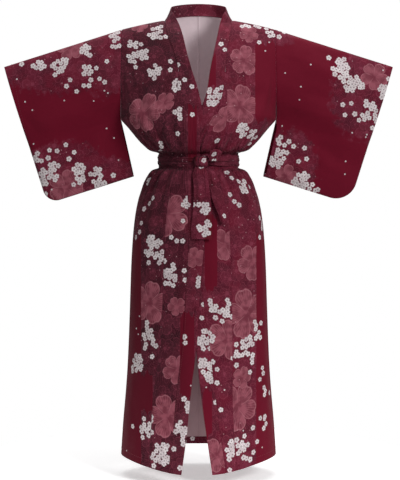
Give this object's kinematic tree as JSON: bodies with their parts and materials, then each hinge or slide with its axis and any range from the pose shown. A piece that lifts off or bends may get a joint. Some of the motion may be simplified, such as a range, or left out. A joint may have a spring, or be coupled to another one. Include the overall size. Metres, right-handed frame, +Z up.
{
  "type": "yukata",
  "caption": "Hollow worn-form robe with wide hanging sleeves, crossed V neck, long collar band, open front hem and a tied cloth belt",
  "frame": {"origin": "midway between the two shoulder points at the neck, where the wearer's shoulders hold the robe", "axes": "+Z up, -Y to the front, +X to the wearer's left"},
  "size_m": [1.1194, 0.2947, 1.3439],
  "materials": {
    "print_cloth": "smooth woven polyester with a blossom print",
    "belt_cloth": "the robe's own cloth, sewn double"
  },
  "bodies": {
    "root": {"back_right": "print_cloth", "back_left": "print_cloth", "front_right": "print_cloth", "front_left": "print_cloth", "overlap_right": "print_cloth", "overlap_left": "print_cloth", "collar_band": "print_cloth", "sleeve_right": "print_cloth", "sleeve_left": "print_cloth", "belt_round": "belt_cloth", "belt_knot": "belt_cloth", "belt_loop": "belt_cloth", "belt_tail_centre": "belt_cloth", "belt_tail_side": "belt_cloth"}
  },
  "joints": []
}
